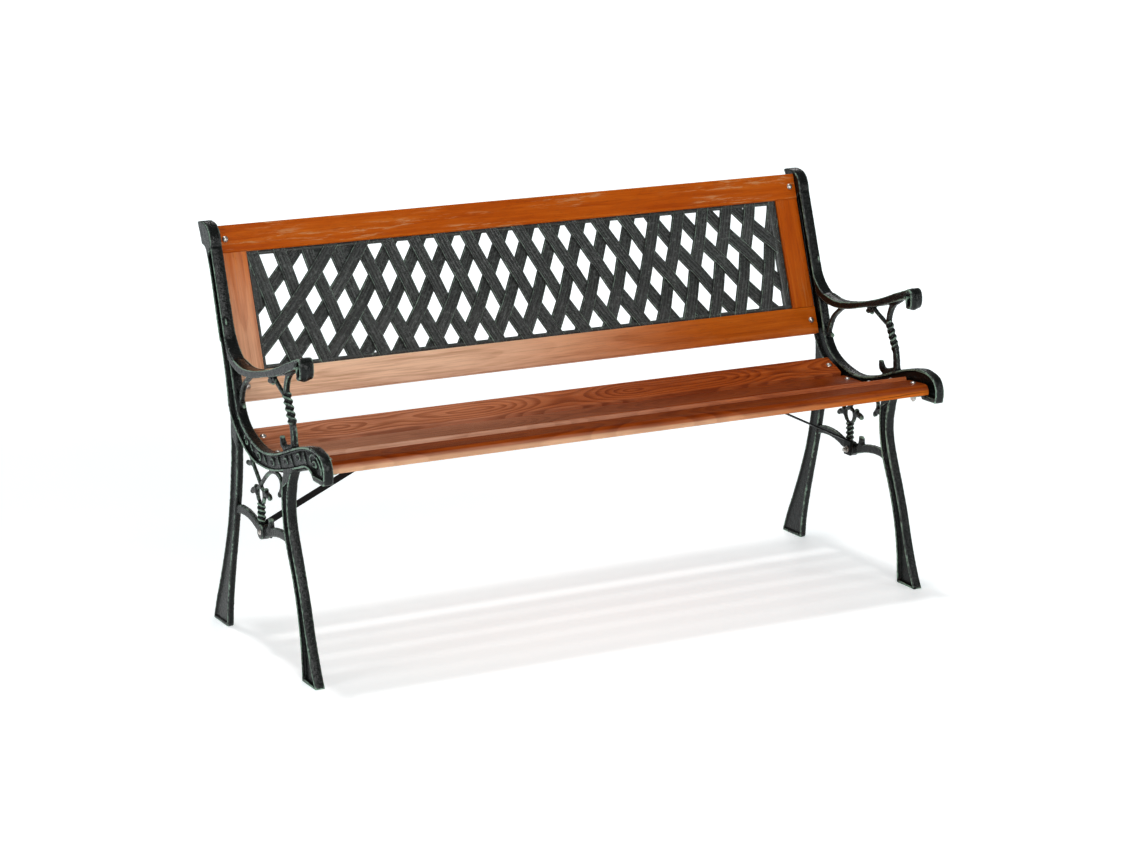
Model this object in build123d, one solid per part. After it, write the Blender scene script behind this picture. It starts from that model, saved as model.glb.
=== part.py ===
from build123d import *
import os
from math import atan, cos, degrees, hypot, radians, sin

# Garden bench: two cast end frames, a wooden back with a moulded lattice panel, and five seat slats.
# Millimetres. X runs along the bench, +Y towards the back, +Z up.
# The origin is on the ground below the middle of the bench.
# Side outlines are given as (depth, height): depth is measured backwards from the front edge of the seat.

# ---- driving dimensions ----
LENGTH = 1260.0             # over the outer sides of the two arms
NOSE_Y = -264.8             # where depth 0 lies in the bench's own frame
ARM_WIDTH = 27.0            # widest part of an end frame, at the arm's front scroll
WEB_X = (LENGTH - ARM_WIDTH) / 2    # middle plane of an end frame
POST_WIDTH = 22.5           # back post
RAIL_WIDTH = 19.0           # seat rail of the end frame
FRONT_LEG_WIDTH = 19.0
REAR_LEG_WIDTH = 13.0
WEB = 6.0                   # thin web between the rims
RIM = 3.6                   # thickness of the rims
STRETCHER_WIDTH = 8.0
ARM_END_WIDTH = 24.0        # the arm where it meets the post
SCROLL = (91.0, 553.5)      # centre of the curl at the arm's front end
SCROLL_DEPTH = 10.0         # its reach forwards and its reach upwards, to the middle of the curled plate
SCROLL_HEIGHT = 17.2

BACK_SLOPE = 0.351          # depth gained per height along the back
BACK_START = 240.0          # depth of the back's front plane, carried down to the ground
BACK_LEAN = degrees(atan(BACK_SLOPE))
BOARD = 18.0                # thickness of the back's boards
BOARD_HALF = 604.5          # half-length of rails and slats between the end frames
TOP_RAIL = (684.5, 732.0)   # lower and upper height of the top rail
BOTTOM_RAIL = (432.6, 483.0)
STILE_INNER = 556.0         # inner edge of a stile, measured along X
GROOVE = 6.0                # depth of the groove that holds the lattice
LATTICE = 8.0               # thickness of the lattice panel
LATTICE_SET_BACK = 5.0      # lattice face behind the face of the boards

SLAT = 20.0                 # thickness of a seat slat
SLATS = {                   # name: (depth, height) of the top face's front edge and of its rear edge
    "front": ((17.0, 406.0), (83.0, 402.0)),
    "second": ((91.0, 407.0), (157.0, 383.0)),
    "middle": ((163.0, 381.0), (230.0, 368.5)),
    "fourth": ((237.0, 367.0), (304.0, 366.0)),
    "rear": ((309.0, 371.0), (362.0, 391.0)),
}
LUG = 5.0                   # thickness of the lugs that carry slats and rails
LUG_INNER = 582.0           # inner end of a lug, measured along X
BOLT_X = 592.5              # bolts through slats and rails, measured along X

BOLT_R = 3.0
HOLE_R = 3.2
HEAD_R = 6.0
HEAD = 3.5
NUT_FLATS = 10.0
NUT = 5.0
WASHER_R = 6.5
WASHER = 1.6
SCREW = 18.0                # length of the screws that hold the braces to the seat

BOSS = (285.0, 222.0)       # middle of the stretcher, where the brace is bolted
BOSS_R = 13.5
BOSS_WIDTH = 16.0
BRACE = (22.0, 3.0)         # width and thickness of the flat brace bar
BRACE_SLAT = "fourth"       # the slat that the braces are screwed to
BRACE_TOP_X = 378.0         # where a brace meets that slat, measured along X
BRACE_TAB = 30.0            # length of the tab under the slat

DOWEL_R = 4.0
DOWEL = 36.0
DOWEL_X = 583.0             # middle of a stile's pair of dowels, measured along X
DOWEL_SHIFT = 11.0

LATTICE_MARGIN = 7.0        # plain border of the lattice inside its frame
LATTICE_HOLE = 0.264        # half a hole, where the strips' spacing is 1
SMALLEST_HOLE = 300.0       # smaller corners of diamonds stay closed
SLAT_EDGE = 4.0             # rounding of the slats' long edges
NOSE_R = 13.0               # rounding of the front slat's upper front edge

side_plane = Plane(origin=(WEB_X, NOSE_Y, 0), x_dir=(0, 1, 0), z_dir=(1, 0, 0))
lean = radians(BACK_LEAN)
back_plane = Plane(
    origin=(0, BACK_START + NOSE_Y, 0),
    x_dir=(1, 0, 0),
    z_dir=(0, -cos(lean), sin(lean)),
)


def along(height):
    """Distance up the sloping back for a height on its front plane."""
    return height / cos(lean)


# ---- building blocks of the end frame ----
def closed(*curves):
    """A flat face bounded by curves that follow on from each other."""
    return make_face(Wire(list(curves)))


def slab(face, width):
    """The face as a plate of the given width, centred on the end frame's middle plane."""
    return extrude(side_plane * face, width / 2, both=True)


def shifted(curve, distance, first=0.0, last=1.0, stations=16):
    """Points beside a curve, at a distance to the left of its direction."""
    points = []
    for i in range(stations + 1):
        t = first + (last - first) * i / stations
        here = curve.position_at(t)
        way = curve.tangent_at(t)
        points.append((here.X - way.Y * distance, here.Y + way.X * distance))
    return points


def recess_between(one_side, other_side):
    """The face between two rows of points that start at the same end of a member."""
    back = list(reversed(other_side))
    return closed(Spline(*one_side), Line(one_side[-1], back[0]), Spline(*back), Line(back[-1], one_side[0]))


def channelled(outline, recess, width):
    """A plate with raised rims: the recess in each side leaves the thin web."""
    depth = (width - WEB) / 2
    outer = extrude(side_plane.offset(WEB / 2) * recess, depth + 1)
    inner = extrude(side_plane.offset(-WEB / 2) * recess, -depth - 1)
    return slab(outline, width) - outer - inner


def ribbon(points, start_width, end_width, stations=14):
    """A flat strip that follows a smooth line through the points and tapers evenly."""
    line = Spline(*points)
    left = []
    right = []
    for i in range(stations + 1):
        t = i / stations
        half = (start_width + (end_width - start_width) * t) / 2
        here = line.position_at(t)
        way = line.tangent_at(t)
        left.append((here.X - way.Y * half, here.Y + way.X * half))
        right.append((here.X + way.Y * half, here.Y - way.X * half))
    right.reverse()
    return closed(Spline(*left), Line(left[-1], right[0]), Spline(*right), Line(right[-1], left[0]))


def rod(start, end, radius):
    """A round bar in the end frame's middle plane."""
    length = hypot(end[0] - start[0], end[1] - start[1])
    foot = side_plane.from_local_coords(Vector(start[0], start[1], 0))
    tip = side_plane.from_local_coords(Vector(end[0], end[1], 0))
    return Plane(origin=foot, z_dir=tip - foot) * Cylinder(
        radius, length, align=(Align.CENTER, Align.CENTER, Align.MIN)
    )


# ---- outlines of the end frame's members ----
def post_and_rail():
    """The back post, which sweeps forward in one piece into the seat rail and its nose."""
    post_front = Line((472, 701), (420, 552))
    sweep = Spline(
        (420, 552), (398.5, 500), (382.5, 450), (364, 412), (330, 388.5), (265, 374),
        (200, 384.5), (130, 408.5), (60, 425.5), (30, 424.5), (8, 416), (-2.5, 398), (-2.5, 383), (0, 372.5),
        tangents=[(-52, -149), (5, -20)],
    )
    nose_foot = Line((0, 372.5), (42, 372.5))
    under = Spline(
        (42, 372.5), (53, 383), (70, 388), (100, 381), (160, 363), (210, 350),
        (260, 344.5), (320, 350.5), (364, 371), (394, 395), (415, 426),
    )
    post_rear = Spline((415, 426), (417, 440), (431, 500), (451, 561), (478.5, 650), (492, 684))
    cap_under = Spline((492, 684), (500, 694.5), (514, 698))
    cap_rear = Spline((514, 698), (520, 712), (532.7, 735.5))
    cap_top = Spline((532.7, 735.5), (524, 738), (505, 738.7), (485, 730), (474.5, 713), (472, 701))
    outline = closed(post_front, sweep, nose_foot, under, post_rear, cap_under, cap_rear, cap_top)
    upper = shifted(post_front, RIM, 0.0, 0.9, 3) + shifted(sweep, RIM, 0.03, 0.985, 28)
    lower = shifted(post_rear, RIM, 0.08, 0.98, 8)[::-1] + shifted(under, RIM, 0.02, 0.95, 20)[::-1]
    return outline, recess_between(upper, lower)


def front_leg():
    front = Spline(
        (118, 382), (150, 340), (157, 300), (151, 260), (127.5, 200), (104, 140), (85, 80), (61, 20), (50, 0)
    )
    rear = Spline(
        (160, 372), (178, 335), (181, 300), (170.5, 240), (144, 180), (123.5, 120), (112, 60), (108, 0)
    )
    outline = closed(front, Line((50, 0), (108, 0)), rear, Line((160, 372), (118, 382)))
    recess = recess_between(shifted(front, RIM, 0.12, 0.985), shifted(rear, -RIM, 0.12, 0.985))
    return outline, recess


def rear_leg():
    front = Spline(
        (383, 398), (384, 360), (388, 310), (396, 260), (416, 180), (437, 100), (449.5, 40), (454, 0)
    )
    rear = Spline(
        (416, 432), (417, 310), (425, 260), (438.5, 200), (460, 140), (486, 80), (505, 40), (521, 0)
    )
    outline = closed(front, Line((454, 0), (521, 0)), rear, Line((416, 432), (383, 398)))
    recess = recess_between(shifted(front, RIM, 0.12, 0.985), shifted(rear, -RIM, 0.14, 0.985))
    return outline, recess


def arm():
    top = Spline(
        (424, 560), (406.5, 532), (379, 512.5), (340, 506), (299, 509.5), (258, 517.5),
        (217.5, 527.7), (176, 540.8), (135.5, 556.3), (97, 568.8),
    )
    under = Spline(
        (104, 552), (149, 536), (192.5, 521.5), (238, 511.4), (290, 498.4),
        (320, 494), (350, 493), (380, 498.5), (406, 510),
    )
    return closed(top, Line((97, 568.8), (104, 552)), under, Line((406, 510), (424, 560)))


def arm_scroll():
    """The arm's plate curls forward, down and back up into itself in a tall oval that tightens at its end."""
    points = []
    for step in range(14):
        angle = radians(40 + 27 * step)
        reach = 1.0 if step < 7 else 1.0 - 0.09 * (step - 7)
        depth = SCROLL[0] + reach * SCROLL_DEPTH * cos(angle)
        height = SCROLL[1] + reach * SCROLL_HEIGHT * sin(angle)
        points.append((depth, height))
    return ribbon(points, 6.0, 4.5, 28)


def stretcher():
    line = [(162, 233), (204, 237.5), (242, 231.5), (285, 222), (326, 233.5), (362, 239.5), (404, 234)]
    return ribbon(line, 16, 16)


# ---- ornament between the members: (line, width at its start, width at its end, depth along X) ----
ORNAMENT = [
    ([(168, 490), (166, 512), (157, 529), (132, 547)], 8, 12, 9),           # front branch up to the arm
    ([(169, 488), (190, 497), (206, 504.5), (222, 513)], 6.5, 7, 7),        # rear branch up to the arm
    ([(226, 511), (234, 506), (243, 503)], 12, 5, 8),                       # leaf below the arm
    ([(148, 456), (142, 436), (140, 404)], 10, 13, 10),                     # foot of the arm support
    ([(150, 404), (168, 398), (184, 400), (190, 408), (191, 416)], 10, 6, 8),   # curled bud behind it
    ([(316, 500), (340, 485), (360, 467), (370, 447), (382, 424)], 7, 8.5, 9),  # curl, arm to post
    ([(378, 436), (368, 434), (358, 432)], 12, 3, 7),                       # leaf of that curl
    ([(294, 304), (271, 324), (246, 339), (221, 343), (200, 334), (200, 318), (211, 305)], 6, 7, 6.5),
    ([(176, 318), (190, 316), (203, 314)], 16, 7, 8),                       # leaf against the front leg
    ([(294, 304), (306, 318.5), (322, 333), (338, 358)], 6, 6, 6.5),        # stem up to the seat rail
    ([(326, 336), (342, 334), (354, 331)], 9, 3, 7),
    ([(279, 291), (266, 294), (251.5, 293)], 12, 3, 8),                     # leaves beside the eye
    ([(308, 290), (320, 290), (332, 287)], 12, 3, 8),
    ([(272, 226), (259, 229), (251, 237), (252, 251)], 9, 7, 9),            # hook on the stretcher
]
ROPES = [((168.5, 494), (145.5, 449), 5.6), ((293, 230), (293, 274), 5.3)]   # start, end, radius
EYE = (293.5, 286.5, 18.5, 16.0, 6.0)    # centre, half-width, half-height and thickness of the ring


def slat_frame(name, x):
    """A plane on a slat's top face at its middle line, with its normal out of the wood."""
    front, rear = SLATS[name]
    run = Vector(0, rear[0] - front[0], rear[1] - front[1]).normalized()
    middle = ((front[0] + rear[0]) / 2 + NOSE_Y, (front[1] + rear[1]) / 2)
    return Plane(origin=(x, middle[0], middle[1]), x_dir=(1, 0, 0), z_dir=(0, -run.Z, run.Y))


def slat_width(name):
    front, rear = SLATS[name]
    return hypot(rear[0] - front[0], rear[1] - front[1])


def lug(plane, length):
    """A rounded plate that reaches inwards from the right end frame, below the given plane."""
    reach = WEB_X - LUG_INNER
    outline = Pos(LUG_INNER + reach / 2, 0) * RectangleRounded(reach, length, 6)
    outline += Pos(WEB_X - reach / 4, 0) * Rectangle(reach / 2, length)
    outline -= Pos(BOLT_X, 0) * Circle(HOLE_R)
    return extrude(plane * outline, -LUG)


def end_frame():
    """The right-hand casting; the left one is its mirror image."""
    outline, recess = post_and_rail()
    body = channelled(outline, recess, RAIL_WIDTH)
    upper_part = Pos(WEB_X, 200, 650) * Box(60, 300, 230)
    body += channelled(outline, recess, POST_WIDTH) & upper_part
    rail_channel = slab(recess, 3 * POST_WIDTH)
    body += channelled(*front_leg(), FRONT_LEG_WIDTH) - rail_channel
    body += channelled(*rear_leg(), REAR_LEG_WIDTH) - rail_channel
    body += slab(stretcher(), STRETCHER_WIDTH)
    body += slab(Pos(*BOSS) * Circle(BOSS_R), BOSS_WIDTH)
    body += slab(arm(), ARM_END_WIDTH)
    body += slab(arm_scroll(), ARM_WIDTH)
    for line, start_width, end_width, depth in ORNAMENT:
        body += slab(ribbon(line, start_width, end_width), depth)
    for start, end, radius in ROPES:
        body += rod(start, end, radius)
    y, z, half_width, half_height, thick = EYE
    ring = Ellipse(half_width, half_height) - Ellipse(half_width - thick / 2, half_height - thick / 2)
    body += slab(Pos(y, z) * ring, thick)
    for name in SLATS:
        below = slat_frame(name, 0).offset(-SLAT)
        body += lug(below, 30)
    for low, high in (TOP_RAIL, BOTTOM_RAIL):
        middle = along((low + high) / 2)
        behind = back_plane.offset(-BOARD)
        centre = behind.from_local_coords(Vector(0, middle, 0))
        behind = Plane(origin=centre, x_dir=(1, 0, 0), z_dir=behind.z_dir)
        body += lug(behind, 32)
    body -= side_plane * Pos(BOSS[0], BOSS[1]) * Cylinder(HOLE_R, 4 * BOSS_WIDTH)
    return body


# ---- back ----
def board(width, height, thickness, edge=3.0):
    """A plank centred on the origin in plan, with its front face at local height 0 and eased long edges."""
    plank = Box(width, height, thickness, align=(Align.CENTER, Align.CENTER, Align.MAX))
    return fillet(plank.edges().filter_by(Axis.X), edge)


def back_rail(low, high, groove_side):
    """A rail across the back; groove_side is +1 when the lattice stands on its upper edge."""
    bottom, top = along(low), along(high)
    rail = Pos(0, (bottom + top) / 2, 0) * board(2 * BOARD_HALF, top - bottom, BOARD)
    edge = top if groove_side > 0 else bottom
    slot_length = 2 * (STILE_INNER + GROOVE)
    slot = Pos(0, edge, -LATTICE_SET_BACK - LATTICE / 2) * Box(slot_length, 2 * GROOVE, LATTICE)
    rail -= slot
    for x in (-BOLT_X, BOLT_X):
        rail -= Pos(x, (bottom + top) / 2) * Cylinder(HOLE_R, 3 * BOARD)
        for shift in (-DOWEL_SHIFT, DOWEL_SHIFT):
            rail -= Pos(side_of(x) * DOWEL_X + shift, edge, -BOARD / 2) * Rot(X=90) * Cylinder(DOWEL_R, DOWEL)
    return back_plane * rail


def side_of(x):
    return 1 if x > 0 else -1


def back_stile(side):
    """A short upright between the rails at one end of the lattice."""
    low, high = along(BOTTOM_RAIL[1]), along(TOP_RAIL[0])
    middle = side * (STILE_INNER + BOARD_HALF) / 2
    stile = Box(BOARD_HALF - STILE_INNER, high - low, BOARD, align=(Align.CENTER, Align.CENTER, Align.MAX))
    stile = fillet(stile.edges().filter_by(Axis.Y), 2.0)
    stile = Pos(middle, (low + high) / 2, 0) * stile
    slot_place = Pos(side * STILE_INNER, (low + high) / 2, -LATTICE_SET_BACK - LATTICE / 2)
    stile -= slot_place * Box(2 * GROOVE, high - low + 2, LATTICE)
    for edge in (low, high):
        for shift in (-DOWEL_SHIFT, DOWEL_SHIFT):
            stile -= Pos(side * DOWEL_X + shift, edge, -BOARD / 2) * Rot(X=90) * Cylinder(DOWEL_R, DOWEL)
    return back_plane * stile


def stile_dowels():
    pegs = []
    for side in (-1, 1):
        for edge in (along(BOTTOM_RAIL[1]), along(TOP_RAIL[0])):
            for shift in (-DOWEL_SHIFT, DOWEL_SHIFT):
                peg = Pos(side * DOWEL_X + shift, edge, -BOARD / 2) * Rot(X=90) * Cylinder(DOWEL_R, DOWEL)
                pegs.append(back_plane * peg)
    return pegs


def lattice_point(p, q):
    """A crossing of the lattice: p counts the strips that lean one way, q those that lean the other."""
    row = p - q
    column = p + q
    x = 4.0 + column * (28.65 + 0.8 * row)
    up = 637.0 - 57.8 * row + (0.191 + 0.0222 * row) * column ** 2
    return x, up


def lattice():
    """A moulded panel of gently fanned diamonds in one piece, with a margin that sits in the grooves."""
    low, high = along(BOTTOM_RAIL[1]), along(TOP_RAIL[0])
    middle = (low + high) / 2
    plate = Pos(0, middle) * Rectangle(2 * (STILE_INNER + GROOVE), high - low + 2 * GROOVE)
    window_low, window_high = low + LATTICE_MARGIN, high - LATTICE_MARGIN
    window_width = 2 * (STILE_INNER - LATTICE_MARGIN)
    window = Pos(0, (window_low + window_high) / 2) * Rectangle(window_width, window_high - window_low)
    diamonds = []
    for row in range(-1, 4):
        for column in range(-19, 20):
            if (row + column) % 2:
                continue
            p, q = (row + column) / 2, (column - row) / 2
            corners = [
                lattice_point(p + LATTICE_HOLE * i, q + LATTICE_HOLE * j)
                for i, j in ((-1, -1), (1, -1), (1, 1), (-1, 1))
            ]
            diamond = window & make_face(Polyline(*corners, close=True))
            diamonds += [face for face in diamond.faces() if face.area > SMALLEST_HOLE]
    panel = plate - diamonds
    behind_face = back_plane.offset(-LATTICE_SET_BACK)
    return extrude(behind_face * panel, -LATTICE)


# ---- seat ----
def slat(name):
    width = slat_width(name)
    plank = Box(2 * BOARD_HALF, width, SLAT, align=(Align.CENTER, Align.CENTER, Align.MAX))
    long_edges = plank.edges().filter_by(Axis.X)
    if name == "front":
        nose = long_edges.sort_by(Axis.Y)[:2].sort_by(Axis.Z)[-1]
        plank = fillet(nose, NOSE_R)
        long_edges = plank.edges().filter_by(Axis.X).filter_by(lambda edge: edge.length > BOARD_HALF)
        long_edges = [edge for edge in long_edges if edge.center().Y > 0 or edge.center().Z < -SLAT + 1]
    plank = fillet(long_edges, SLAT_EDGE)
    for x in (-BOLT_X, BOLT_X):
        plank -= Pos(x, 0) * Cylinder(HOLE_R, 3 * SLAT)
    if name == BRACE_SLAT:
        for side in (-1, 1):
            hole = Cylinder(HOLE_R, SCREW - BRACE[1] + 1, align=(Align.CENTER, Align.CENTER, Align.MIN))
            plank -= Pos(side * BRACE_TOP_X, 0, -SLAT) * hole
    return slat_frame(name, 0) * plank


# ---- fasteners, each drawn along +Z with its seat at the origin ----
def bolt(grip):
    """A round-headed bolt: the domed head stands above the origin, the shank runs down the grip."""
    ball = (HEAD_R ** 2 + HEAD ** 2) / (2 * HEAD)
    dome = Pos(0, 0, HEAD - ball) * Sphere(ball)
    dome &= Cylinder(HEAD_R + 1, 2 * HEAD, align=(Align.CENTER, Align.CENTER, Align.MIN))
    return dome + Cylinder(BOLT_R, grip, align=(Align.CENTER, Align.CENTER, Align.MAX))


def washer(below):
    ring = Circle(WASHER_R) - Circle(BOLT_R)
    return Pos(0, 0, -below) * extrude(ring, -WASHER)


def nut(below):
    ring = RegularPolygon(NUT_FLATS / 2, 6, major_radius=False) - Circle(BOLT_R)
    return Pos(0, 0, -below) * extrude(ring, -NUT)


def back_bolt_planes():
    planes = []
    for low, high in (TOP_RAIL, BOTTOM_RAIL):
        for x in (-BOLT_X, BOLT_X):
            origin = back_plane.from_local_coords(Vector(x, along((low + high) / 2), 0))
            planes.append(Plane(origin=origin, x_dir=(1, 0, 0), z_dir=back_plane.z_dir))
    return planes


def seat_bolt_planes():
    return [slat_frame(name, x) for name in SLATS for x in (-BOLT_X, BOLT_X)]


def brace_top_planes():
    """Planes on the underside of a slat where the braces are screwed on, normal up through the slat."""
    return [slat_frame(BRACE_SLAT, side * BRACE_TOP_X).offset(-SLAT) for side in (-1, 1)]


def screw_planes():
    """Planes on the braces' tabs, normal down towards the screws' heads."""
    planes = []
    for plane in brace_top_planes():
        below = plane.offset(-BRACE[1])
        planes.append(Plane(origin=below.origin, x_dir=(1, 0, 0), z_dir=-below.z_dir))
    return planes


def brace_foot_planes():
    """Planes on the bosses' outer sides, normal outwards."""
    planes = []
    for side in (-1, 1):
        origin = (side * (WEB_X + BOSS_WIDTH / 2), BOSS[0] + NOSE_Y, BOSS[1])
        planes.append(Plane(origin=origin, x_dir=(0, 1, 0), z_dir=(side, 0, 0)))
    return planes


def brace_bar():
    """The right-hand brace: a flat bar with a tab bent at each end."""
    width, thickness = BRACE
    foot_x = WEB_X - BOSS_WIDTH / 2
    foot = Pos(foot_x - thickness / 2, BOSS[0] + NOSE_Y, BOSS[1] + 4) * Box(thickness, width, 30)
    top_plane = brace_top_planes()[1]
    top = top_plane * Box(BRACE_TAB, width, thickness, align=(Align.CENTER, Align.CENTER, Align.MAX))
    start = Vector(foot_x - thickness / 2, BOSS[0] + NOSE_Y, BOSS[1] + 17)
    end = top_plane.from_local_coords(Vector(BRACE_TAB / 2 - 2, 0, -thickness / 2))
    above_tab = top_plane * Box(6 * BRACE_TAB, 6 * width, SLAT, align=(Align.CENTER, Align.CENTER, Align.MIN))
    run = end - start
    across = Vector(-run.Y, run.X, 0).normalized()
    bar_plane = Plane(origin=(start + end) / 2, x_dir=run.normalized(), z_dir=run.cross(across).normalized())
    bar = bar_plane * Box(run.length + 2, width, thickness)
    body = foot + bar + top - above_tab
    body -= Pos(foot_x, BOSS[0] + NOSE_Y, BOSS[1]) * Rot(Y=90) * Cylinder(HOLE_R, 10 * thickness)
    body -= top_plane * Cylinder(HOLE_R, 10 * thickness)
    return body


def grouped(planes, piece):
    """The same fastener set on each of the planes."""
    return [plane * piece for plane in planes]


def write(name, solids):
    """One file per node; a list is written as separate solids."""
    if isinstance(solids, list):
        solids = Compound(children=[solid.solid() for solid in solids])
    export_step(solids, f"parts/{name}.step")


os.makedirs("parts", exist_ok=True)
right_frame = end_frame()
right_brace = brace_bar()
write("end_frame_right", right_frame)
write("end_frame_left", mirror(right_frame, about=Plane.YZ))
write("brace_bar_right", right_brace)
write("brace_bar_left", mirror(right_brace, about=Plane.YZ))
write("back_top_rail", back_rail(*TOP_RAIL, -1))
write("back_bottom_rail", back_rail(*BOTTOM_RAIL, 1))
write("back_stile_left", back_stile(-1))
write("back_stile_right", back_stile(1))
write("back_stile_dowels", stile_dowels())
write("back_lattice", lattice())
for slat_name in SLATS:
    write(f"seat_slat_{slat_name}", slat(slat_name))

# (node stem, planes, thickness clamped between head and washer)
FOOT_GRIP = BOSS_WIDTH + BRACE[1]
FASTENINGS = [
    ("back", back_bolt_planes(), BOARD + LUG),
    ("seat", seat_bolt_planes(), SLAT + LUG),
    ("brace_foot", brace_foot_planes(), FOOT_GRIP),
]
for stem, planes, grip in FASTENINGS:
    write(f"{stem}_bolts", grouped(planes, bolt(grip + WASHER + NUT + 3)))
    write(f"{stem}_washers", grouped(planes, washer(grip)))
    write(f"{stem}_nuts", grouped(planes, nut(grip + WASHER)))
write("brace_top_screws", grouped(screw_planes(), bolt(SCREW)))
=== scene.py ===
from math import atan, cos, pi, radians, sin, tau

import bpy
import numpy as np
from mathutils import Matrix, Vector


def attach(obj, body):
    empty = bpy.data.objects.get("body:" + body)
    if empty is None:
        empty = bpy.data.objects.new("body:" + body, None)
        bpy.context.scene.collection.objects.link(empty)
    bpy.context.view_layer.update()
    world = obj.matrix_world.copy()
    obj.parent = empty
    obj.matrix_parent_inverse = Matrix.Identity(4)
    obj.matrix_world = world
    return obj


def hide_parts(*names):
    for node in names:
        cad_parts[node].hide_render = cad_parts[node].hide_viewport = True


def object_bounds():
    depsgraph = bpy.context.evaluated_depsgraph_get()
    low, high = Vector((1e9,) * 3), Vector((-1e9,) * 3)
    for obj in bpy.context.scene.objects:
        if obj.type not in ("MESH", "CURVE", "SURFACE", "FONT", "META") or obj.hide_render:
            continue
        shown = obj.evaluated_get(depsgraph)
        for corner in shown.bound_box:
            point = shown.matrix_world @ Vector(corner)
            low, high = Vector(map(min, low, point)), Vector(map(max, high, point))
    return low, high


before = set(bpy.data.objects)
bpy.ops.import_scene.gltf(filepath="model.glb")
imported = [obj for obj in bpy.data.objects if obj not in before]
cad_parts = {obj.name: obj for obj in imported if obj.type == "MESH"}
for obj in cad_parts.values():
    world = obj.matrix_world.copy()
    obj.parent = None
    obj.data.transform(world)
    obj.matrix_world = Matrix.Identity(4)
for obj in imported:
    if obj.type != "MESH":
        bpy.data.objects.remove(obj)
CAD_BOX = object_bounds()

# Garden bench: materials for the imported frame, and finer pieces for its castings and lattice.
# Metres, except that a point in an end frame is (depth, height) in millimetres, and so are the widths of
# its stems. Depth is measured backwards from the front edge of the seat.

# ---- driving dimensions ----
MM = 0.001
BODY = "root"
LOW, HIGH = CAD_BOX
HALF_LENGTH = HIGH.x
ARM_WIDTH = 0.027
WEB_X = HALF_LENGTH - ARM_WIDTH / 2     # middle plane of an end frame
WEB = 0.006                             # thickness of the web between the rims
NOSE_Y = -0.2648                        # where depth 0 lies
LEAN = atan(0.351)                      # the back's lean
BACK_Y = 0.240 + NOSE_Y                 # front plane of the back, carried down to the ground
TOP_RAIL = (0.6845, 0.732)              # lower and upper height of the top rail
BOTTOM_RAIL = (0.4326, 0.483)
HALF_PANEL = 0.556                      # from the bench's middle to the inner edge of a stile
VOXEL = 0.0016
KEPT_FACES = 0.5     # share of a casting's triangles that is kept after softening
CURL_ROUNDS = 14       # smoothing of the arm's curled front

UP_BACK = Vector((0, sin(LEAN), cos(LEAN)))
OUT_OF_BACK = Vector((0, -cos(LEAN), sin(LEAN)))
ALONG = Vector((1, 0, 0))


# ---- colours ----
RAIL_TONES = ((0.34, 0.056, 0.0016), (0.48, 0.103, 0.0032), (0.60, 0.18, 0.018))    # dark, middle, light
PALE_RAIL_TONES = ((0.36, 0.072, 0.0020), (0.52, 0.125, 0.0045), (0.66, 0.21, 0.028))
SEAT_TONES = ((0.20, 0.036, 0.006), (0.37, 0.083, 0.015), (0.54, 0.150, 0.033))
# A darker copy of the seat tones: painted shade on the front and fourth slats.
SHADED_SEAT_TONES = ((0.14, 0.023, 0.003), (0.26, 0.052, 0.006), (0.40, 0.100, 0.014))
SCUFF = (0.55, 0.27, 0.12)
SHEEN_TONES = ((0.56, 0.31, 0.19), (0.95, 0.65, 0.46))        # dark and light streaks of a painted sheen: reflected light painted into the wood
# Pale long edges of the boards: partly rubbed wear, partly a painted highlight.
RUBBED_AND_HIGHLIT = ((0.42, 0.19, 0.10), (0.66, 0.40, 0.29))
TAN = ((0.36, 0.18, 0.10), (0.68, 0.42, 0.27))
ORANGE = ((0.30, 0.055, 0.004), (0.58, 0.17, 0.022))
SPLIT = (0.035, 0.010, 0.004)
PAINT = (0.007, 0.0085, 0.008)
PATINA = (0.30, 0.44, 0.34)
PAINTED_EDGE_HIGHLIGHT = (0.060, 0.066, 0.063)                      # painted highlight on the rounded edges of the paint
LATTICE_PAINT = (0.054, 0.057, 0.055)
LATTICE_PATINA = (0.24, 0.34, 0.27)


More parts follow.
